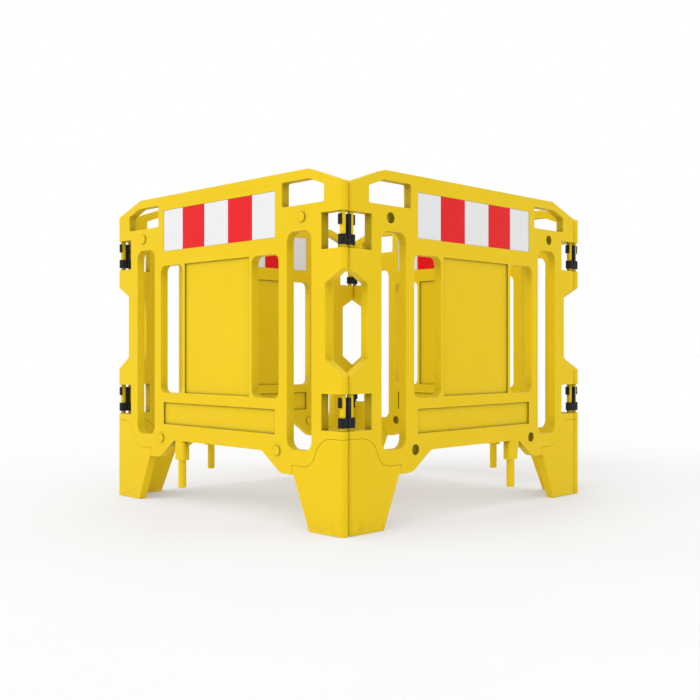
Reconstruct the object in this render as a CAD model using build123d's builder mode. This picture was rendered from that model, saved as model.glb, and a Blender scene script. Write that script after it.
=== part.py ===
from build123d import *
from math import atan2, cos, degrees
import os

# Folding work-area barrier: four equal hollow gates stand in a closed ring and are joined
# at the corners by clip-on hinge links. +Z is up, the origin is on the ground at the middle.

# Overall sizes of one gate
gate_width = 1000
gate_height = 905
gate_thickness = 25
skin = 3                      # moulded wall around the hollow core
corner_gap = 1                # clear gap between the round ends of two gates
corner_round = 6              # plan corners of the outline and the windows

# Top corner and hand hole, heights taken down from the top edge
shoulder_run = 125
shoulder_drop = 44
shoulder_round = 12
shoulder_end_round = 3
hand_hole_outer = 66
hand_hole_bend = 120
hand_hole_inner = 222
hand_hole_top_drop = 25
hand_hole_bend_drop = 45
hand_hole_bottom_drop = 88

# Reflective band, in a shallow recess on both faces
band_inset = 250
band_top_drop = 42
band_bottom_drop = 162
band_recess = 2
tape_thickness = 1
tape_gap = 0.3
red_stripe = 103
middle_stripe = 107

# Outer and inner slots, distances taken from the gate's end
outer_slot_start = 111
outer_slot_end = 203
outer_slot_top_drop = 153
outer_slot_bottom = 200
outer_slot_round = 26
inner_slot_start = 235
inner_slot_end = 344
inner_slot_top_drop = 205
inner_slot_bottom = 327
inner_slot_round = 20

# Recesses on both faces: the middle panel and the tray below it
middle_inset = 355
middle_top_drop = 205
middle_bottom = 329
middle_recess = 5
tray_inset = 250
tray_top = 299
tray_bottom = 235
tray_recess = 5.5

# Hinge notches with their posts, and the wide notch between them
notch_depth = 75
upper_notch_top_drop = 115
upper_notch_bottom_drop = 205
lower_notch_top = 345
lower_notch_bottom = 255
post_diameter = 15
grip_notch_depth = 62
grip_notch_top_drop = 254
grip_notch_inner_top_drop = 288
grip_notch_bottom = 389
grip_notch_inner_bottom = 430

# Bottom rail, its sloping ends and the shelf beside the foot
rail_bottom = 190
rail_slope_start = 304
shelf_height = 136
shelf_end = 228
shelf_round = 40
slope_round = 25
base_round = 1

# Foot: a boot pushed on to a tenon of the gate
foot_base_width = 120
foot_shelf_width = 178
foot_top_width = 184
foot_top = 235
foot_inner_top = 160
seam_start = 40
seam_end = 140
seam_upper_share = 0.58       # share of the S-bend's radii that the upper bend takes
seam_gap = 0.6
tenon_start = 16
tenon_end = 96
tenon_thickness = 13
tenon_bottom = 60
tenon_clearance = 0.4

# Studs on one face nest into sockets of the next gate's other face when the ring is folded
stud_diameter = 24
stud_height = 4
stud_round = 1
socket_diameter = 28
socket_depth = 12
upper_stud_inset = 145
upper_stud_drop = 119
lower_stud_inset = 240
lower_stud_height = 194

# Ground spigot under the bottom rail
spigot_inset = 326
boss_width = 46
boss_bottom = 135
boss_round = 9
spigot_diameter = 23
spigot_tip = 54
spigot_chamfer = 2
spigot_plug_diameter = 20
spigot_socket_depth = 48
spigot_clearance = 0.2
spigot_end_gap = 0.5

# Hinge link: two open collars clipped on to each post, joined by a web between the posts
collar_height = 25
collar_gap = 1
collar_mouth_half_angle = 55
running_clearance = 0.05
link_end_gap = 8
web_post_gap = 0.45
web_inner_reach = 2
web_round = 1.5

post_inset = gate_thickness / 2
link_pitch = gate_thickness + corner_gap
half_face = gate_thickness / 2
band_width = gate_width - 2 * band_inset
overcut = 10                  # how far a cutting shape runs past an open edge


def across(inset):
    """Place along the gate of a point that lies inset from its right end."""
    return gate_width / 2 - inset


def below_top(drop):
    """Height of a point that lies drop below the top edge."""
    return gate_height - drop


def gate_plane(centre_x, centre_y, turn):
    """Mid-plane of a gate: x along the gate, y up, z out of its studded face."""
    along = Vector(1, 0, 0).rotate(Axis.Z, turn)
    outward = Vector(0, -1, 0).rotate(Axis.Z, turn)
    return Plane(origin=(centre_x, centre_y, 0), x_dir=along, z_dir=outward)


def plan_plane(mid, height):
    """Level plane at a height, with x along the gate."""
    return Plane(origin=mid.origin + Vector(0, 0, height), x_dir=mid.x_dir, z_dir=(0, 0, 1))


def middle_of(low, high):
    """Point halfway between two sizes."""
    return (low + high) / 2


# Outline of a gate with its feet, drawn for the right half and mirrored
with BuildSketch() as silhouette:
    with BuildLine() as half_outline:
        FilletPolyline(
            (0, gate_height),
            (across(shoulder_run), gate_height),
            (across(0), below_top(shoulder_drop)),
            (across(0), 0),
            (across(foot_base_width), 0),
            (across(foot_shelf_width), shelf_height),
            (across(shelf_end), shelf_height),
            (across(rail_slope_start), rail_bottom),
            (0, rail_bottom),
            radius=[
                shoulder_round,
                shoulder_end_round,
                base_round,
                base_round,
                base_round,
                shelf_round,
                slope_round,
            ],
        )
        mirror(about=Plane.YZ)
    make_face()

# Foot of the right end, with the S-bend of its seam as two tangent arcs
seam_drop = foot_top - foot_inner_top
seam_run = seam_end - seam_start
seam_turn = 2 * atan2(seam_drop, seam_run)
seam_radii = seam_drop / (1 - cos(seam_turn))
with BuildSketch() as foot_outline:
    with BuildLine() as foot_edge:
        Line((across(0), foot_top), (across(seam_start), foot_top))
        upper_bend = JernArc(
            start=(across(seam_start), foot_top),
            tangent=(-1, 0),
            radius=seam_radii * seam_upper_share,
            arc_size=degrees(seam_turn),
        )
        lower_bend = JernArc(
            start=upper_bend @ 1,
            tangent=upper_bend % 1,
            radius=seam_radii * (1 - seam_upper_share),
            arc_size=-degrees(seam_turn),
        )
        Polyline(
            lower_bend @ 1,
            (across(foot_top_width), foot_inner_top),
            (across(foot_top_width), shelf_height),
            (across(foot_shelf_width), shelf_height),
            (across(foot_base_width), 0),
            (across(0), 0),
            (across(0), foot_top),
        )
    make_face()

# Windows right through the gate: hand holes, slots, hinge notches and grip notches
slot_top = below_top(outer_slot_top_drop)
inner_slot_top = below_top(inner_slot_top_drop)
upper_notch_top = below_top(upper_notch_top_drop)
upper_notch_bottom = below_top(upper_notch_bottom_drop)
notches = [(upper_notch_bottom, upper_notch_top), (lower_notch_bottom, lower_notch_top)]
slots = [
    (outer_slot_start, outer_slot_end, outer_slot_bottom, slot_top, outer_slot_round),
    (inner_slot_start, inner_slot_end, inner_slot_bottom, inner_slot_top, inner_slot_round),
]
with BuildSketch() as windows:
    with BuildLine():
        FilletPolyline(
            (across(hand_hole_outer), below_top(hand_hole_bottom_drop)),
            (across(hand_hole_outer), below_top(hand_hole_bend_drop)),
            (across(hand_hole_bend), below_top(hand_hole_top_drop)),
            (across(hand_hole_inner), below_top(hand_hole_top_drop)),
            (across(hand_hole_inner), below_top(hand_hole_bottom_drop)),
            radius=corner_round,
            close=True,
        )
    make_face()
    for start, end, bottom, top, corner in slots:
        with Locations((across(middle_of(start, end)), middle_of(bottom, top))):
            RectangleRounded(end - start, top - bottom, corner)
    for bottom, top in notches:
        with Locations((across(middle_of(-overcut, notch_depth)), middle_of(bottom, top))):
            Rectangle(notch_depth + overcut, top - bottom)
    with BuildLine():
        grip_rise = grip_notch_inner_bottom - grip_notch_bottom
        grip_fall = grip_notch_inner_top_drop - grip_notch_top_drop
        overcut_rise = grip_rise * overcut / grip_notch_depth
        overcut_fall = grip_fall * overcut / grip_notch_depth
        FilletPolyline(
            (across(-overcut), grip_notch_bottom - overcut_rise),
            (across(grip_notch_depth), grip_notch_inner_bottom),
            (across(grip_notch_depth), below_top(grip_notch_inner_top_drop)),
            (across(-overcut), below_top(grip_notch_top_drop) + overcut_fall),
            radius=corner_round,
        )
        Line(
            (across(-overcut), below_top(grip_notch_top_drop) + overcut_fall),
            (across(-overcut), grip_notch_bottom - overcut_rise),
        )
    make_face()
    mirror(about=Plane.YZ)

# The same outlines moved by the wall, for the hollow core
with BuildSketch() as core_outline:
    add(silhouette.sketch)
    offset(amount=-skin)
with BuildSketch() as core_windows:
    add(windows.sketch)
    offset(amount=skin)
with BuildSketch() as core_feet:
    add(foot_outline.sketch)
    mirror(about=Plane.YZ)
    offset(amount=skin + seam_gap)
with BuildSketch() as seam_cut:
    add(foot_outline.sketch)
    mirror(about=Plane.YZ)
    offset(amount=seam_gap)

# Recesses on both faces: half width, bottom, top and depth of each
recesses = [
    (across(band_inset), below_top(band_bottom_drop), below_top(band_top_drop), band_recess),
    (across(middle_inset), middle_bottom, below_top(middle_top_drop), middle_recess),
    (across(tray_inset), tray_bottom, tray_top, tray_recess),
]
stud_places = [
    (side * across(inset), height)
    for side in (-1, 1)
    for inset, height in (
        (upper_stud_inset, below_top(upper_stud_drop)),
        (lower_stud_inset, lower_stud_height),
    )
]
tenon_top = foot_top + seam_gap + skin
tenon_middle = across(middle_of(tenon_start, tenon_end))
tenon_places = [(side * tenon_middle, middle_of(tenon_bottom, tenon_top)) for side in (-1, 1)]
spigot_place = -across(spigot_inset)


def recess_blocks(mid, grow):
    """Blocks that cut the recesses into both faces, each grown by a margin on every side."""
    with BuildPart() as blocks:
        for half_width, bottom, top, depth in recesses:
            for face in (-1, 1):
                with BuildSketch(mid.offset(face * (half_face - depth - grow))):
                    with Locations((0, middle_of(bottom, top))):
                        Rectangle(2 * (half_width + grow), top - bottom + 2 * grow)
                extrude(amount=face * (depth + grow + overcut))
    return blocks.part


def build_core(mid):
    """Hollow inside a gate: its outline and windows moved by the wall."""
    with BuildPart() as core:
        with BuildSketch(mid):
            add(core_outline.sketch)
            add(core_windows.sketch, mode=Mode.SUBTRACT)
            add(core_feet.sketch, mode=Mode.SUBTRACT)
        extrude(amount=half_face - skin, both=True)
        with BuildSketch(plan_plane(mid, 0)):
            SlotOverall(gate_width - 2 * skin, gate_thickness - 2 * skin)
        extrude(amount=gate_height, mode=Mode.INTERSECT)
        add(recess_blocks(mid, skin), mode=Mode.SUBTRACT)
        with BuildSketch(mid.offset(-half_face)):
            with Locations(*stud_places):
                Circle(socket_diameter / 2 + skin)
        extrude(amount=socket_depth + skin, mode=Mode.SUBTRACT)
    return core.part


def build_gate(mid):
    """One gate: round-ended shell with windows, recesses, posts, studs, sockets and tenons."""
    core = build_core(mid)
    with BuildPart() as gate:
        with BuildSketch(mid):
            add(silhouette.sketch)
            add(windows.sketch, mode=Mode.SUBTRACT)
            add(seam_cut.sketch, mode=Mode.SUBTRACT)
        extrude(amount=half_face, both=True)
        with BuildSketch(plan_plane(mid, 0)):
            SlotOverall(gate_width, gate_thickness)
        extrude(amount=gate_height, mode=Mode.INTERSECT)
        add(recess_blocks(mid, 0), mode=Mode.SUBTRACT)
        add(core, mode=Mode.SUBTRACT)
        for notch_bottom, notch_top in notches:
            with BuildSketch(plan_plane(mid, notch_bottom - skin)):
                with Locations((-across(post_inset), 0), (across(post_inset), 0)):
                    Circle(post_diameter / 2)
            extrude(amount=notch_top - notch_bottom + 2 * skin)
        with BuildSketch(mid):
            with Locations(*tenon_places):
                Rectangle(tenon_end - tenon_start, tenon_top - tenon_bottom)
        extrude(amount=tenon_thickness / 2, both=True)
        with BuildSketch(mid.offset(-half_face)):
            with Locations(*stud_places):
                Circle(socket_diameter / 2)
        extrude(amount=socket_depth, mode=Mode.SUBTRACT)
        with BuildSketch(mid.offset(half_face)):
            with Locations(*stud_places):
                Circle(stud_diameter / 2)
        extrude(amount=stud_height)
        outward = Axis(mid.origin, mid.z_dir)
        fillet(gate.edges().filter_by(GeomType.CIRCLE).group_by(outward)[-1], stud_round)
        with BuildSketch(plan_plane(mid, boss_bottom)):
            with Locations((spigot_place, 0)):
                RectangleRounded(boss_width, gate_thickness, boss_round)
        extrude(amount=rail_bottom + skin - boss_bottom)
        with BuildSketch(plan_plane(mid, boss_bottom)):
            with Locations((spigot_place, 0)):
                Circle(spigot_plug_diameter / 2 + spigot_clearance)
        extrude(amount=spigot_socket_depth, mode=Mode.SUBTRACT)
    return gate.part


def build_foot(mid, side):
    """Boot at one end of a gate, with the pocket that takes the tenon."""
    pocket_bottom = tenon_bottom - tenon_clearance
    with BuildPart() as foot:
        with BuildSketch(mid):
            add(foot_outline.sketch)
            if side < 0:
                mirror(about=Plane.YZ, mode=Mode.REPLACE)
        extrude(amount=half_face, both=True)
        with BuildSketch(plan_plane(mid, 0)):
            SlotOverall(gate_width, gate_thickness)
        extrude(amount=gate_height, mode=Mode.INTERSECT)
        with BuildSketch(mid):
            with Locations((side * tenon_middle, middle_of(pocket_bottom, tenon_top))):
                Rectangle(tenon_end - tenon_start + 2 * tenon_clearance, tenon_top - pocket_bottom)
        extrude(amount=tenon_thickness / 2 + tenon_clearance, both=True, mode=Mode.SUBTRACT)
    return foot.part


def build_spigot(mid):
    """Ground peg, shouldered against the boss under the bottom rail and plugged into it."""
    with BuildPart() as spigot:
        with BuildSketch(plan_plane(mid, spigot_tip)):
            with Locations((spigot_place, 0)):
                Circle(spigot_diameter / 2)
        extrude(amount=boss_bottom - spigot_tip)
        chamfer(spigot.edges().group_by(Axis.Z)[0], spigot_chamfer)
        with BuildSketch(plan_plane(mid, boss_bottom)):
            with Locations((spigot_place, 0)):
                Circle(spigot_plug_diameter / 2)
        extrude(amount=spigot_socket_depth - spigot_end_gap)
    return spigot.part


def build_tapes(mid, stripes):
    """Reflective tape stripes of one colour, on the floor of the band recess of both faces."""
    bottom = below_top(band_bottom_drop) + tape_gap
    top = below_top(band_top_drop) - tape_gap
    with BuildPart() as tapes:
        for face in (-1, 1):
            with BuildSketch(mid.offset(face * (half_face - band_recess))):
                for start, end in stripes:
                    with Locations((middle_of(start, end), middle_of(bottom, top))):
                        Rectangle(end - start - 2 * tape_gap, top - bottom)
            extrude(amount=face * tape_thickness)
    return tapes.part


def build_link(corner_x, corner_y, notch_bottom, notch_top):
    """Hinge link between the two posts of a corner, which stand in a row along Y."""
    link_bottom = notch_bottom + link_end_gap
    link_top = notch_top - link_end_gap
    collar_radius = link_pitch / 2 - collar_gap
    bore_radius = post_diameter / 2 + running_clearance
    web_width = link_pitch - 2 * (bore_radius + web_post_gap)
    posts = [(0, -link_pitch / 2), (0, link_pitch / 2)]
    with BuildPart() as link:
        with BuildSketch(Plane((corner_x, corner_y, link_bottom))):
            with Locations((middle_of(-web_inner_reach, collar_radius), 0)):
                RectangleRounded(web_inner_reach + collar_radius, web_width, web_round)
        extrude(amount=link_top - link_bottom)
        for collar_bottom, mouth in ((link_bottom, 180), (link_top - collar_height, 0)):
            with BuildSketch(Plane((corner_x, corner_y, collar_bottom))):
                with Locations(*posts):
                    Circle(collar_radius)
            extrude(amount=collar_height)
            with BuildSketch(Plane((corner_x, corner_y, collar_bottom))):
                for post in posts:
                    with BuildLine():
                        first = PolarLine(post, link_pitch, mouth - collar_mouth_half_angle)
                        second = PolarLine(post, link_pitch, mouth + collar_mouth_half_angle)
                        Line(first @ 1, second @ 1)
                    make_face()
                with Locations((middle_of(-web_inner_reach, collar_radius), 0)):
                    Rectangle(web_inner_reach + collar_radius, web_width, mode=Mode.SUBTRACT)
            extrude(amount=collar_height, mode=Mode.SUBTRACT)
        with BuildSketch(Plane((corner_x, corner_y, link_bottom))):
            with Locations(*posts):
                Circle(bore_radius)
        extrude(amount=link_top - link_bottom, mode=Mode.SUBTRACT)
    return link.part


def save(part, name):
    """Label a finished piece and write it as parts/name.step."""
    part.label = name
    export_step(part, f"parts/{name}.step")


os.makedirs("parts", exist_ok=True)
side_offset = gate_width / 2 - half_face
end_offset = gate_width / 2 + corner_gap + half_face
stripe_edges = [
    -band_width / 2,
    -middle_stripe / 2 - red_stripe,
    -middle_stripe / 2,
    middle_stripe / 2,
    middle_stripe / 2 + red_stripe,
    band_width / 2,
]
stripes = list(zip(stripe_edges, stripe_edges[1:]))
white_stripes = stripes[::2]
red_stripes = stripes[1::2]
gates = {
    "front": gate_plane(0, -end_offset, 0),
    "right": gate_plane(side_offset, 0, -90),
    "back": gate_plane(0, end_offset, 180),
    "left": gate_plane(-side_offset, 0, 90),
}
for name, mid in gates.items():
    save(build_gate(mid), f"{name}_gate")
    save(build_foot(mid, -1), f"{name}_spigot_end_foot")
    save(build_foot(mid, 1), f"{name}_plain_end_foot")
    save(build_spigot(mid), f"{name}_ground_spigot")
    save(build_tapes(mid, white_stripes), f"{name}_white_tape")
    save(build_tapes(mid, red_stripes), f"{name}_red_tape")

corner_x = gate_width / 2 - post_inset
corner_y = (gate_width + corner_gap) / 2
corners = {
    "front_left": (-corner_x, -corner_y),
    "front_right": (corner_x, -corner_y),
    "back_right": (corner_x, corner_y),
    "back_left": (-corner_x, corner_y),
}
for name, (place_x, place_y) in corners.items():
    for level, (notch_bottom, notch_top) in zip(("upper", "lower"), notches):
        save(build_link(place_x, place_y, notch_bottom, notch_top), f"{name}_{level}_link")
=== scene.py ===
"""Looks of a folding work-area barrier: four moulded gates hinged into a closed ring."""

import logging
import math
from dataclasses import dataclass, field
from enum import Enum
from typing import Callable, Optional, Union

import bmesh
import bpy
import numpy as np
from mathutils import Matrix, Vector
from mathutils.bvhtree import BVHTree


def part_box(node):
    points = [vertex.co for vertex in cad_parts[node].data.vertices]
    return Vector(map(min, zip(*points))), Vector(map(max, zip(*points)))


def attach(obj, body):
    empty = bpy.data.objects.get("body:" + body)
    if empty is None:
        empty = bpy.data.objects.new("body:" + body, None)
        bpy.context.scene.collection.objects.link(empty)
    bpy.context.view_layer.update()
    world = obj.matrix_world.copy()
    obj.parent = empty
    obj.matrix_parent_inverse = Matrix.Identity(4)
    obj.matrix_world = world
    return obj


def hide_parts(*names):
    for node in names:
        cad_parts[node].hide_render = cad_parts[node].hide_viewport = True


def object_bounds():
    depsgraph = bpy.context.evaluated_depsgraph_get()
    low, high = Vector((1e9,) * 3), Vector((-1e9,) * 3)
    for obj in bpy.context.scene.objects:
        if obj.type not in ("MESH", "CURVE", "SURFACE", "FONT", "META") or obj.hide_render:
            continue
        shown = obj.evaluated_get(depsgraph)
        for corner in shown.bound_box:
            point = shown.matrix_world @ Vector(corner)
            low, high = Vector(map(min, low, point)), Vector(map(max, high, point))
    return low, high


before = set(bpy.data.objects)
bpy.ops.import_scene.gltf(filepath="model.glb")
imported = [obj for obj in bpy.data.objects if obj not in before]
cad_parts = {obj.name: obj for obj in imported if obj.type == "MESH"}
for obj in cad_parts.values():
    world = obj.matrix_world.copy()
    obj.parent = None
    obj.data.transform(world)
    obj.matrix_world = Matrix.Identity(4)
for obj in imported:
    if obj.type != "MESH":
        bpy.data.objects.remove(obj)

LOG = logging.getLogger("barrier")
CAD_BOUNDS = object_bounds()
Socket = bpy.types.NodeSocket
Value = Union[float, Socket]
Colour = tuple[float, float, float]
MIX_FIRST, MIX_SECOND, MIX_RESULT = 6, 7, 2  # the colour sockets of a Mix node


class Side(Enum):
    """The four sides of the ring, by the name of their gate."""

    FRONT = "front"
    RIGHT = "right"
    BACK = "back"
    LEFT = "left"

    @property
    def stands_along_x(self) -> bool:
        """Tell whether this side's gate stands along X.

        Returns:
            True for the front and the back gate.
        """
        return self in (Side.FRONT, Side.BACK)


class Corner(Enum):
    """The four corners of the ring, by the name that their links start with."""

    FRONT_LEFT = "front_left"
    FRONT_RIGHT = "front_right"
    BACK_RIGHT = "back_right"
    BACK_LEFT = "back_left"


class Level(Enum):
    """The two heights at which a corner is hinged."""

    UPPER = "upper"
    LOWER = "lower"


class Slot(Enum):
    """The record's material slots."""

    GATE = "yellow_plastic"
    FOOT = "yellow_foot_plastic"
    NYLON = "black_nylon"
    WHITE = "white_sheeting"
    RED = "red_sheeting"


class Graph:
    """Short way to write a material's nodes, all of them on Object coordinates."""

    def __init__(self, name: str) -> None:
        """Start a material with one Principled shader.

        Args:
            name: The material's name.
        """
        self.material = bpy.data.materials.new(name)
        self.material.use_nodes = True
        self.tree = self.material.node_tree
        self.tree.nodes.clear()
        self.shader = self.tree.nodes.new("ShaderNodeBsdfPrincipled")
        output = self.tree.nodes.new("ShaderNodeOutputMaterial")
        self.tree.links.new(self.shader.outputs["BSDF"], output.inputs["Surface"])
        self.place = self.tree.nodes.new("ShaderNodeTexCoord").outputs["Object"]

    def node(self, kind: str, inputs: dict, **settings: object) -> bpy.types.Node:
        """Add a node.

        Args:
            kind: The node's type without "ShaderNode".
            inputs: Values or sockets for its inputs, by name or number.
            settings: The node's own properties.

        Returns:
            The node.
        """
        made = self.tree.nodes.new("ShaderNode" + kind)
        for key, value in settings.items():
            setattr(made, key, value)
        for key, value in inputs.items():
            self.feed(made.inputs[key], value)
        return made

    def feed(self, socket: Socket, value: object) -> None:
        """Link a socket to another one, or set its constant.

        Args:
            socket: The input to set.
            value: The socket that feeds it, or its constant.
        """
        if isinstance(value, Socket):
            self.tree.links.new(value, socket)
        else:
            socket.default_value = value

    def maths(self, operation: str, *values: Value) -> Socket:
        """Work out a Math node.

        Args:
            operation: The node's operation.
            values: Up to three numbers or sockets.

        Returns:
            The result.
        """
        return self.node("Math", dict(enumerate(values)), operation=operation).outputs[0]

    def stretched(self, scale: Colour) -> Socket:
        """Scale the place along each axis.

        Args:
            scale: The factor along X, Y and Z; a small one draws the pattern out.

        Returns:
            The scaled place.
        """
        return self.node("Mapping", {"Vector": self.place, "Scale": scale}).outputs[0]

    def noise(self, size: float, detail: float = 2.0, place: Optional[Socket] = None) -> Socket:
        """Give a soft random pattern from 0 to 1.

        Args:
            size: The length of one lump, in metres.
            detail: How many finer layers lie on it.
            place: Where it is read, or nothing for the plain place.

        Returns:
            The pattern's value.
        """
        inputs = {"Vector": place or self.place, "Scale": 1.0 / size, "Detail": detail}
        return self.node("TexNoise", inputs).outputs["Fac"]

    def pebbles(self, size: float) -> Socket:
        """Give a pattern of rounded cells.

        Args:
            size: The width of one cell, in metres.

        Returns:
            The distance from each cell's middle, 0 there.
        """
        inputs = {"Vector": self.place, "Scale": 1.0 / size, "Smoothness": 0.6}
        return self.node("TexVoronoi", inputs, feature="SMOOTH_F1").outputs["Distance"]

    def between(self, value: Socket, start: float, end: float, low: float = 0.0, high: float = 1.0) -> Socket:
        """Map one range of values to another, smoothly and held at both ends.

        Args:
            value: The value to map.
            start: Where the mapping starts.
            end: Where it ends, which may be below the start.
            low: The result at the start.
            high: The result at the end.

        Returns:
            The mapped value.
        """
        inputs = {"Value": value, "From Min": start, "From Max": end, "To Min": low, "To Max": high}
        return self.node("MapRange", inputs, interpolation_type="SMOOTHSTEP").outputs[0]

    def tint(self, factor: Value, first: Union[Colour, Socket], second: Union[Colour, Socket]) -> Socket:
        """Blend two colours.

        Args:
            factor: How much of the second colour shows, from 0 to 1.
            first: The colour at 0.
            second: The colour at 1.

        Returns:
            The blended colour.
        """
        made = self.node("Mix", {"Factor": factor}, data_type="RGBA")
        for place, colour in ((MIX_FIRST, first), (MIX_SECOND, second)):
            self.feed(made.inputs[place], colour if isinstance(colour, Socket) else (*colour, 1.0))
        return made.outputs[MIX_RESULT]

    def bump(self, height: Socket, depth: float, strength: float, below: Optional[Socket] = None) -> Socket:
        """Lay a relief over another, or over the bare surface.

        Args:
            height: The relief's pattern, 1 at its tops.
            depth: How far the tops stand off the valleys, in metres.
            strength: How much of the relief shows, from 0 to 1.
            below: The relief under it, or nothing for the bare surface.

        Returns:
            The surface's normal.
        """
        inputs = {"Height": height, "Distance": depth, "Strength": strength}
        if below is not None:
            inputs["Normal"] = below
        return self.node("Bump", inputs).outputs[0]

    def rims(self, reach: float) -> Socket:
        """Find the rims, both convex and concave.

        The rounded normal and the true one are multiplied; where they part, there is a rim.

        Args:
            reach: How wide a rim is, in metres.

        Returns:
            1 on rims and 0 on flat stretches.
        """
        rounded = self.node("Bevel", {"Radius": reach}, samples=4).outputs[0]
        true = self.node("NewGeometry", {}).outputs["Normal"]
        dot = self.node("VectorMath", {0: rounded, 1: true}, operation="DOT_PRODUCT").outputs["Value"]
        return self.between(dot, 0.995, 0.86)

    def painted_nook_shade(self, reach: float, open_share: float, closed_share: float) -> Socket:
        """Find where each nook takes painted shade, from the share of the view that the piece itself leaves
        free.

        Args:
            reach: How far off something still closes a place in, in metres.
            open_share: The free share from which a place is open.
            closed_share: The free share at which it is a full nook.

        Returns:
            0 in the open and 1 in a full nook.
        """
        made = self.node("AmbientOcclusion", {"Distance": reach}, samples=6, only_local=True)
        return self.between(made.outputs["AO"], open_share, closed_share)

    def finish(self, **inputs: object) -> bpy.types.Material:
        """Set the shader's inputs.

        Args:
            inputs: Values or sockets, by the inputs' names with underscores for spaces.

        Returns:
            The finished material.
        """
        for key, value in inputs.items():
            self.feed(self.shader.inputs[key.replace("_", " ")], value)
        return self.material


@dataclass(frozen=True)
class MouldedPlastic:
    """Blow-moulded polyethylene: a grained skin with flow marks, faded patches, worn rims and painted shade
    in its nooks.

    Lengths are in metres. The bounce is the paler colour of the light that the plastic throws on
    what stands round it.
    """

    name: str
    colour: Colour
    faded: Colour
    worn: Colour
    grain: float = 0.0022
    grain_depth: float = 0.00022
    ripple: float = 0.011
    ripple_depth: float = 0.0006
    patch: float = 0.32
    flow_mark: float = 0.03
    flow_stretch: Colour = (1.0, 1.0, 0.12)
    speck: float = 0.0035
    rim_reach: float = 0.003
    nook_reach: float = 0.09
    roughness: tuple[float, float] = (0.42, 0.58)
    parting_axis: Optional[int] = None
    parting_place: float = 0.0
    parting_width: float = 0.0006
    parting_depth: float = 0.0005
    scuff_height: float = 0.0
    scuff_cover: float = 0.15
    scuff_stretch: Colour = (0.35, 0.35, 2.4)
    dirt: Colour = (0.23, 0.17, 0.07)
    # The painted shade colour that the nooks are darkened towards.
    shade: Colour = (0.17, 0.14, 0.004)
    bounce: Colour = (0.64, 0.59, 0.5)

    def material(self) -> bpy.types.Material:
        """Write the nodes.

        Returns:
            The material.
        """
        graph = Graph(self.name)
        patches = graph.noise(self.patch, 4.0)
        flow = graph.noise(self.flow_mark, 3.0, graph.stretched(self.flow_stretch))
        specks = graph.noise(self.speck, 1.0)
        colour = graph.tint(graph.between(patches, 0.38, 0.7, 0.0, 0.55), self.colour, self.faded)
        colour = graph.tint(graph.between(flow, 0.45, 0.75, 0.0, 0.25), colour, self.faded)
        colour = graph.tint(graph.between(specks, 0.62, 0.78, 0.0, 0.22), colour, self.worn)
        touched = graph.between(graph.noise(0.02, 3.0), 0.42, 0.62)
        rub = graph.maths("MULTIPLY", graph.rims(self.rim_reach), touched)
        colour = graph.tint(graph.maths("MULTIPLY", rub, 0.55), colour, self.worn)
        # Painted shade: the nooks that the piece closes in are darkened towards the shade colour.
        painted_nook_shade = graph.maths("MULTIPLY", graph.painted_nook_shade(self.nook_reach, 0.98, 0.5), 0.9)
        colour = graph.tint(painted_nook_shade, colour, self.shade)
        rough = graph.between(graph.noise(0.05, 3.0), 0.3, 0.7, *self.roughness)
        if self.scuff_height:
            colour, rough = self._scuffs(graph, colour, rough)
        thrown = graph.node("LightPath", {}).outputs["Is Diffuse Ray"]
        colour = graph.tint(graph.maths("MULTIPLY", thrown, 0.9), colour, self.bounce)
        skin = graph.bump(graph.pebbles(self.grain), self.grain_depth, 0.35)
        skin = graph.bump(graph.noise(self.ripple, 2.0), self.ripple_depth, 0.22, skin)
        if self.parting_axis is not None:
            skin = graph.bump(self._parting_line(graph), self.parting_depth, 0.7, skin)
        return graph.finish(
            Base_Color=colour,
            Roughness=rough,
            Normal=skin,
            IOR=1.5,
            Specular_IOR_Level=0.16,
        )

    def _scuffs(self, graph: Graph, colour: Socket, rough: Socket) -> tuple[Socket, Socket]:
        """Lay ground dirt and scratches over the lowest stretch.

        Args:
            graph: The material's nodes.
            colour: The colour so far.
            rough: The roughness so far.

        Returns:
            The colour and the roughness with the scuffs.
        """
        height = graph.node("SeparateXYZ", {0: graph.place}).outputs["Z"]
        low = graph.between(height, self.scuff_height, 0.0)
        smudge = graph.between(graph.noise(0.025, 5.0), 0.42, 0.68)
        scratch = graph.between(graph.noise(0.006, 2.0, graph.stretched(self.scuff_stretch)), 0.6, 0.7)
        marks = graph.maths("MAXIMUM", smudge, scratch)
        cover = graph.maths("MULTIPLY", graph.maths("MULTIPLY", low, marks), self.scuff_cover)
        rough = graph.maths("ADD", rough, graph.maths("MULTIPLY", cover, 0.4))
        return graph.tint(cover, colour, self.dirt), rough

    def _parting_line(self, graph: Graph) -> Socket:
        """Draw the thin ridge where the two mould halves met, at the gate's mid-plane.

        Args:
            graph: The material's nodes.

        Returns:
            1 on the ridge and 0 beside it.
        """
        across = graph.node("SeparateXYZ", {0: graph.place}).outputs[self.parting_axis]
        off = graph.maths("SUBTRACT", graph.maths("ABSOLUTE", across), self.parting_place)
        return graph.between(graph.maths("ABSOLUTE", off), self.parting_width, 0.0)


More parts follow.
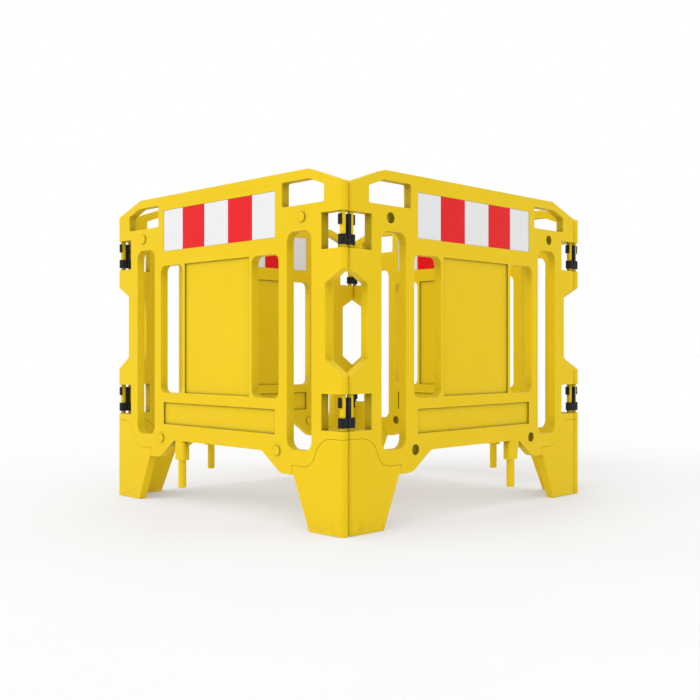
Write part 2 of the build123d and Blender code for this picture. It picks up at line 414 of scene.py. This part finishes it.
@dataclass(frozen=True)
class BlackNylon:
    """Glass-filled black nylon of the links: matt, faintly mottled, smoother at its rims, with a painted
    sheen lightening them.
    """

    name: str = "black_nylon"
    colour: Colour = (0.006, 0.006, 0.008)
    dusty: Colour = (0.022, 0.022, 0.026)
    # The painted sheen colour that every rim is lightened towards.
    painted_rim_sheen: Colour = (0.02, 0.02, 0.024)

    def material(self) -> bpy.types.Material:
        """Write the nodes.

        Returns:
            The material.
        """
        graph = Graph(self.name)
        dust = graph.between(graph.noise(0.012, 4.0), 0.45, 0.75, 0.0, 0.6)
        colour = graph.tint(dust, self.colour, self.dusty)
        rim = graph.rims(0.0015)
        # Painted sheen: every rim is lightened towards the sheen colour, and its roughness drops below.
        colour = graph.tint(graph.maths("MULTIPLY", rim, 0.7), colour, self.painted_rim_sheen)
        base = graph.between(graph.noise(0.006, 2.0), 0.3, 0.7, 0.46, 0.6)
        rough = graph.maths("SUBTRACT", base, graph.maths("MULTIPLY", rim, 0.14))
        skin = graph.bump(graph.pebbles(0.0009), 0.00012, 0.4)
        return graph.finish(Base_Color=colour, Roughness=rough, Normal=skin, IOR=1.53, Specular_IOR_Level=0.2)


@dataclass(frozen=True)
class PrismSheet:
    """Reflective sheeting: tiny prisms in sealed diamond cells under a clear film."""

    name: str
    colour: Colour
    seam: Colour
    cell: float = 0.0085
    seam_share: float = 0.1

    def material(self, along_x: bool) -> bpy.types.Material:
        """Write the nodes.

        The diamonds are two families of lines: one where the distance along plus the height is a
        whole number of cells, and one where it is the distance along minus the height.

        Args:
            along_x: Whether the sheet stands along X, or else along Y.

        Returns:
            The material.
        """
        graph = Graph(self.name + ("_x" if along_x else "_y"))
        parts = graph.node("SeparateXYZ", {0: graph.place}).outputs
        along, height = parts[0 if along_x else 1], parts[2]
        lines = []
        for family in ("ADD", "SUBTRACT"):
            place = graph.maths("DIVIDE", graph.maths(family, along, height), self.cell)
            away = graph.maths("ABSOLUTE", graph.maths("SUBTRACT", graph.maths("FRACT", place), 0.5))
            lines.append(graph.between(away, 0.5 - self.seam_share, 0.5))
        seams = graph.maths("MAXIMUM", *lines)
        shimmer = graph.between(graph.noise(0.04, 3.0), 0.35, 0.7, 0.0, 0.3)
        darker = graph.maths("MAXIMUM", graph.maths("MULTIPLY", seams, 0.5), shimmer)
        colour = graph.tint(darker, self.colour, self.seam)
        prisms = graph.bump(graph.pebbles(0.0012), 0.0001, 0.3)
        relief = graph.bump(seams, 0.0002, 0.35, prisms)
        rough = graph.between(graph.noise(0.02, 3.0), 0.3, 0.7, 0.3, 0.42)
        return graph.finish(
            Base_Color=colour,
            Roughness=rough,
            Normal=relief,
            Specular_IOR_Level=0.12,
            Coat_Weight=0.12,
            Coat_Roughness=0.12,
        )


@dataclass(frozen=True)
class StudioFloor:
    """Pale painted floor with a barely visible mottle."""

    colour: Colour = (0.895, 0.897, 0.9)
    shade: Colour = (0.888, 0.89, 0.893)

    def material(self) -> bpy.types.Material:
        """Write the nodes.

        Returns:
            The material.
        """
        graph = Graph("studio_floor")
        colour = graph.tint(graph.between(graph.noise(0.4, 4.0), 0.35, 0.65), self.colour, self.shade)
        return graph.finish(Base_Color=colour, Roughness=0.75, Specular_IOR_Level=0.1)


@dataclass
class FinishBook:
    """Every finish of the barrier, made once and shared."""

    yellow: Colour = (0.8, 0.548, 0.002)
    faded: Colour = (0.835, 0.58, 0.005)
    worn: Colour = (0.9, 0.68, 0.06)
    made: dict[str, bpy.types.Material] = field(default_factory=dict)

    def gate(self, side: Side) -> bpy.types.Material:
        """Give the gate plastic for a side, with its parting line at that gate's mid-plane.

        Args:
            side: The gate's side of the ring.

        Returns:
            The material.
        """
        low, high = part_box(f"{side.value}_plain_end_foot")
        axis = 1 if side.stands_along_x else 0
        place = abs(low[axis] + high[axis]) / 2
        plastic = MouldedPlastic(
            f"gate_plastic_{'x' if side.stands_along_x else 'y'}",
            self.yellow,
            self.faded,
            self.worn,
            parting_axis=axis,
            parting_place=place,
        )
        return self._once(plastic.name, plastic.material)

    def foot(self) -> bpy.types.Material:
        """Give the foot plastic, scuffed near the ground.

        Returns:
            The material.
        """
        plastic = MouldedPlastic("foot_plastic", self.yellow, self.faded, self.worn, scuff_height=0.055)
        return self._once(plastic.name, plastic.material)

    def spigot(self) -> bpy.types.Material:
        """Give the spigot plastic, with finer grain.

        Returns:
            The material.
        """
        yellows = (self.yellow, self.faded, self.worn)
        plastic = MouldedPlastic("spigot_plastic", *yellows, grain=0.0015, ripple=0.006)
        return self._once(plastic.name, plastic.material)

    def nylon(self) -> bpy.types.Material:
        """Give the black nylon of the links.

        Returns:
            The material.
        """
        return self._once("black_nylon", BlackNylon().material)

    def sheet(self, slot: Slot, along_x: bool) -> bpy.types.Material:
        """Give the reflective sheeting of one colour.

        Args:
            slot: The white or the red sheeting's slot.
            along_x: Whether the gate stands along X, or else along Y.

        Returns:
            The material.
        """
        if slot is Slot.WHITE:
            sheet = PrismSheet("white_sheet", (0.79, 0.79, 0.8), (0.7, 0.7, 0.715))
        else:
            sheet = PrismSheet("red_sheet", (0.78, 0.004, 0.007), (0.66, 0.003, 0.006))
        return self._once(f"{sheet.name}_{along_x}", lambda: sheet.material(along_x))

    def _once(self, key: str, make: Callable[[], bpy.types.Material]) -> bpy.types.Material:
        """Make a material the first time it is asked for, and give the same one after that.

        Args:
            key: The name it is kept under.
            make: What makes it.

        Returns:
            The material.
        """
        if key not in self.made:
            self.made[key] = make()
        return self.made[key]


def add_object(name: str, mesh: bpy.types.Mesh, material: bpy.types.Material) -> bpy.types.Object:
    """Put a mesh in the scene at the origin.

    Args:
        name: The piece's name.
        mesh: Its mesh, with its place in its vertices.
        material: Its only material.

    Returns:
        The new object.
    """
    mesh.materials.clear()
    mesh.materials.append(material)
    made = bpy.data.objects.new(name, mesh)
    bpy.context.scene.collection.objects.link(made)
    return made


@dataclass
class MouldedPiece:
    """A moulded piece: the outer skin of a CAD node, with rounded rims.

    The node's loose triangles are merged and the walls of its closed hollows are left out. Flat
    stretches become whole faces, so that only real rims are rounded. Lengths are in metres.
    """

    node: str
    body: str
    slot: Slot
    rim_round: float = 0.0015
    rim_steps: int = 3
    rim_angle: float = math.radians(38.0)
    flat_angle: float = math.radians(0.4)
    merge_reach: float = 2e-6
    stray_share: float = 0.3

    def build(self, material: bpy.types.Material) -> bpy.types.Object:
        """Make the piece, dress it and set it on its body.

        Args:
            material: The finish it gets.

        Returns:
            The finished piece.
        """
        skin = bmesh.new()
        skin.from_mesh(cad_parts[self.node].data)
        bmesh.ops.remove_doubles(skin, verts=skin.verts, dist=self.merge_reach)
        self._drop_hollows(skin)
        bmesh.ops.dissolve_limit(skin, angle_limit=self.flat_angle, verts=skin.verts, edges=skin.edges)
        mesh = bpy.data.meshes.new(self.node + "_skin")
        skin.to_mesh(mesh)
        skin.free()
        mesh.polygons.foreach_set("use_smooth", np.ones(len(mesh.polygons), bool))
        piece = add_object(self.node + "_moulding", mesh, material)
        self._round_rims(piece)
        self._settle_strays(piece)
        self._flatten(piece)
        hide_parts(self.node)
        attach(piece, self.body)
        LOG.info("%s: %d faces, rides on %s", piece.name, len(piece.data.polygons), self.body)
        return piece

    def _drop_hollows(self, skin: bmesh.types.BMesh) -> None:
        """Delete each shell that is turned inwards, because it walls a closed hollow.

        Args:
            skin: The merged mesh, all triangles.
        """
        left = set(skin.faces)
        while left:
            start = left.pop()
            shell, todo = [start], [start]
            while todo:
                for edge in todo.pop().edges:
                    fresh = [face for face in edge.link_faces if face in left]
                    left.difference_update(fresh)
                    shell += fresh
                    todo += fresh
            if self._volume(shell) < 0.0:
                bmesh.ops.delete(skin, geom=shell, context="FACES")

    @staticmethod
    def _volume(shell: list[bmesh.types.BMFace]) -> float:
        """Sum the signed volumes between the origin and each triangle of a shell.

        Args:
            shell: The shell's triangles.

        Returns:
            The volume, below zero if the shell is turned inwards.
        """
        points = np.array([[corner.vert.co[:] for corner in face.loops] for face in shell])
        return float(np.einsum("ij,ij->", points[:, 0], np.cross(points[:, 1], points[:, 2]))) / 6.0

    def _round_rims(self, piece: bpy.types.Object) -> None:
        """Round every rim sharper than the rim angle.

        Args:
            piece: The piece to round.
        """
        bevel = piece.modifiers.new("rims", "BEVEL")
        bevel.width = self.rim_round
        bevel.segments = self.rim_steps
        bevel.limit_method = "ANGLE"
        bevel.angle_limit = self.rim_angle
        bevel.use_clamp_overlap = False

    def _settle_strays(self, piece: bpy.types.Object) -> None:
        """Keep the rounded mesh, with each corner that strays off the CAD surface drawn back onto it.

        Where a rim runs out along a tangent, the rounding can throw a corner outwards. A fillet of
        radius r stands 0.3 r off its corner at most, so whatever stands further off is a stray.

        Args:
            piece: The piece with its rims rounded.
        """
        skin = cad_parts[self.node].data
        points = [corner.co for corner in skin.vertices]
        surface = BVHTree.FromPolygons(points, [face.vertices for face in skin.polygons])
        seen = piece.evaluated_get(bpy.context.evaluated_depsgraph_get())
        rounded = bpy.data.meshes.new_from_object(seen)
        strays = 0
        for corner in rounded.vertices:
            spot, normal, _, gap = surface.find_nearest(corner.co)
            if gap > self.stray_share * self.rim_round and (corner.co - spot).dot(normal) > 0.0:
                corner.co = spot
                strays += 1
            corner.co = [min(max(place, low), high) for place, low, high in zip(corner.co, *CAD_BOUNDS)]
        piece.modifiers.clear()
        piece.data = rounded
        LOG.info("%s: %d stray corners settled", piece.name, strays)

    def _flatten(self, piece: bpy.types.Object) -> None:
        """Keep the flats flat, by letting the large faces set the shading normals.

        Args:
            piece: The piece to shade.
        """
        weights = piece.modifiers.new("flats", "WEIGHTED_NORMAL")
        weights.keep_sharp = False
        weights.weight = 100


@dataclass
class TapeStripes:
    """Stripes of reflective sheeting on both faces of a gate.

    Each stripe is a thin closed pad. For p and q from -1 to 1 its outer face stands off the gate by
    the thickness times the fourth root of (1 - p^k)(1 - q^k), so that it is flat and falls at its rim.
    """

    side: Side
    slot: Slot
    edge_power: int = 60
    columns: int = 33
    rows: int = 25

    @property
    def node(self) -> str:
        """Name the CAD node of these stripes.

        Returns:
            The node's name.
        """
        return f"{self.side.value}_{'white' if self.slot is Slot.WHITE else 'red'}_tape"

    def build(self, finishes: FinishBook) -> bpy.types.Object:
        """Make both faces' stripes as one piece.

        Args:
            finishes: The book of finishes.

        Returns:
            The finished piece.
        """
        along, across = (0, 1) if self.side.stands_along_x else (1, 0)
        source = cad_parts[self.node].data
        corners = np.empty(len(source.vertices) * 3, np.float32)
        source.vertices.foreach_get("co", corners)
        corners = corners.reshape(-1, 3).astype(float)
        starts = self._levels(corners[:, along]).reshape(-1, 2)
        depths = self._levels(corners[:, across])
        bottom, top = corners[:, 2].min(), corners[:, 2].max()
        points, faces, count = [], [], 0
        for seat, outer in ((depths[1], depths[0]), (depths[2], depths[3])):
            for start, end in starts:
                grid, quads = self._pad((start, end), (bottom, top), (seat, outer), along)
                points.append(grid)
                faces.append(quads + count)
                count += len(grid)
        mesh = bpy.data.meshes.new(self.node + "_pads")
        mesh.from_pydata(np.vstack(points).tolist(), [], np.vstack(faces).tolist())
        mesh.polygons.foreach_set("use_smooth", np.ones(len(mesh.polygons), bool))
        mesh.set_sharp_from_angle(angle=math.radians(40.0))
        mesh.validate()
        piece = add_object(self.node + "_sheet", mesh, finishes.sheet(self.slot, self.side.stands_along_x))
        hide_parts(self.node)
        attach(piece, self.side.value)
        LOG.info("%s: %d faces, rides on %s", piece.name, len(mesh.polygons), self.side.value)
        return piece

    @staticmethod
    def _levels(values: np.ndarray) -> np.ndarray:
        """List the distinct values, to the nearest hundredth of a millimetre.

        Args:
            values: Places along one axis, in metres.

        Returns:
            The distinct places, in order.
        """
        return np.unique(np.round(values, 5))

    def _pad(
        self, span: tuple[float, float], rise: tuple[float, float], depth: tuple[float, float], along: int
    ) -> tuple[np.ndarray, np.ndarray]:
        """Work out one stripe.

        Args:
            span: Where it starts and ends along the gate.
            rise: Its lowest and highest height.
            depth: The places of its seat and of its outer face, across the gate.
            along: The axis that the gate stands along.

        Returns:
            Its points, outer face first and seat second, and its four-cornered faces.
        """
        p = np.sin(np.linspace(-0.5, 0.5, self.columns) * math.pi)[None, :] * np.ones((self.rows, 1))
        q = np.sin(np.linspace(-0.5, 0.5, self.rows) * math.pi)[:, None] * np.ones((1, self.columns))
        crown = ((1.0 - p**self.edge_power) * (1.0 - q**self.edge_power)).clip(0.0) ** 0.25
        run = np.interp(p, (-1.0, 1.0), span)
        height = np.interp(q, (-1.0, 1.0), rise)
        sheets = []
        for share in (crown, np.zeros_like(crown)):
            layers = [None, None, height]
            layers[along] = run
            layers[1 - along] = depth[0] + (depth[1] - depth[0]) * share
            sheets.append(np.stack(layers, axis=-1).reshape(-1, 3))
        index = np.arange(self.rows * self.columns).reshape(self.rows, self.columns)
        quads = np.stack([index[:-1, :-1], index[:-1, 1:], index[1:, 1:], index[1:, :-1]], axis=-1)
        quads = quads.reshape(-1, 4)
        rim = np.concatenate([index[0, :-1], index[:-1, -1], index[-1, :0:-1], index[:0:-1, 0]])
        joined = np.arange(2 * index.size)
        joined[rim + index.size] = rim
        faces = joined[np.vstack([quads, quads[:, ::-1] + index.size])]
        outward = (depth[1] > depth[0]) == (along == 1)
        if not outward:
            faces = faces[:, ::-1]
        used, faces = np.unique(faces, return_inverse=True)
        return np.vstack(sheets)[used], faces.reshape(-1, 4)


@dataclass
class Gate:
    """One gate with its feet, ground spigot and tape."""

    side: Side
    gate_round: float = 0.0009
    foot_round: float = 0.0015
    spigot_round: float = 0.0008

    def build(self, finishes: FinishBook) -> list[bpy.types.Object]:
        """Make every piece of the gate.

        Args:
            finishes: The book of finishes.

        Returns:
            The pieces.
        """
        name = self.side.value
        gate = MouldedPiece(f"{name}_gate", name, Slot.GATE, self.gate_round)
        made = [gate.build(finishes.gate(self.side))]
        for end in ("spigot", "plain"):
            foot = MouldedPiece(f"{name}_{end}_end_foot", name, Slot.FOOT, self.foot_round)
            made.append(foot.build(finishes.foot()))
        spigot = MouldedPiece(f"{name}_ground_spigot", name, Slot.GATE, self.spigot_round)
        made.append(spigot.build(finishes.spigot()))
        for slot in (Slot.WHITE, Slot.RED):
            made.append(TapeStripes(self.side, slot).build(finishes))
        return made


@dataclass
class CornerHinge:
    """The upper and the lower link of one corner."""

    corner: Corner
    rim_round: float = 0.0005

    def build(self, finishes: FinishBook) -> list[bpy.types.Object]:
        """Make both links.

        Args:
            finishes: The book of finishes.

        Returns:
            The links, upper one first.
        """
        body = self.corner.value + "_links"
        made = []
        for level in Level:
            link = MouldedPiece(f"{self.corner.value}_{level.value}_link", body, Slot.NYLON, self.rim_round)
            made.append(link.build(finishes.nylon()))
        return made


@dataclass
class SoftSun:
    """A wide, even lamp far away, like a large soft box: every place gets the same light."""

    name: str = "key_lamp"
    toward: tuple[float, float, float] = (-0.07, -0.78, 0.65)
    strength: float = 0.6
    spread: float = math.radians(35.0)

    def build(self) -> bpy.types.Object:
        """Make the lamp.

        Returns:
            The lamp's object.
        """
        data = bpy.data.lights.new(self.name, "SUN")
        data.energy = self.strength
        data.angle = self.spread
        lamp = bpy.data.objects.new(self.name, data)
        bpy.context.scene.collection.objects.link(lamp)
        lamp.rotation_euler = Vector(self.toward).to_track_quat("Z", "Y").to_euler()
        return lamp


@dataclass
class Studio:
    """Pale floor, soft light all round and a level camera at the front right corner.

    Lengths are in metres, but for the lens, which is in millimetres.
    """

    floor_size: float = 400.0
    sky: float = 1.0
    camera_distance: float = 3.063
    camera_turn: float = math.radians(44.93)
    focal_length: float = 50.1
    sensor_width: float = 36.0

    def build(self) -> None:
        """Make the floor, the lamps, the sky and the camera."""
        low, high = CAD_BOUNDS
        target = (Vector(low) + Vector(high)) / 2
        self._floor(low[2])
        self._sky()
        SoftSun().build()
        self._camera(target)

    def _floor(self, level: float) -> None:
        """Lay a wide flat floor.

        Args:
            level: Its height.
        """
        half = self.floor_size / 2
        corners = [(-half, -half, level), (half, -half, level), (half, half, level), (-half, half, level)]
        mesh = bpy.data.meshes.new("studio_floor")
        mesh.from_pydata(corners, [], [(0, 1, 2, 3)])
        add_object("studio_floor", mesh, StudioFloor().material())

    def _sky(self) -> None:
        """Light the studio evenly from all round."""
        world = bpy.data.worlds.new("studio_sky")
        world.use_nodes = True
        backdrop = world.node_tree.nodes["Background"]
        backdrop.inputs["Color"].default_value = (1.0, 1.0, 1.0, 1.0)
        backdrop.inputs["Strength"].default_value = self.sky
        bpy.context.scene.world = world

    def _camera(self, target: Vector) -> None:
        """Set a level camera at half the barrier's height.

        Args:
            target: The ring's middle, which it faces.
        """
        data = bpy.data.cameras.new("camera")
        data.lens = self.focal_length
        data.sensor_width = self.sensor_width
        camera = bpy.data.objects.new("camera", data)
        bpy.context.scene.collection.objects.link(camera)
        away = Vector((math.sin(self.camera_turn), -math.cos(self.camera_turn), 0.0)) * self.camera_distance
        camera.location = target + away
        camera.rotation_euler = (math.pi / 2, 0.0, self.camera_turn)
        bpy.context.scene.camera = camera


def main() -> None:
    """Build the studio, the gates and the links, and report each piece."""
    logging.basicConfig(level=logging.INFO, format="%(name)s: %(message)s")
    bpy.context.scene.view_settings.view_transform = "Standard"
    Studio().build()
    finishes = FinishBook()
    pieces = []
    for part in [*map(Gate, Side), *map(CornerHinge, Corner)]:
        pieces += part.build(finishes)
    LOG.info("%d pieces", len(pieces))


if __name__ == "__main__":
    main()
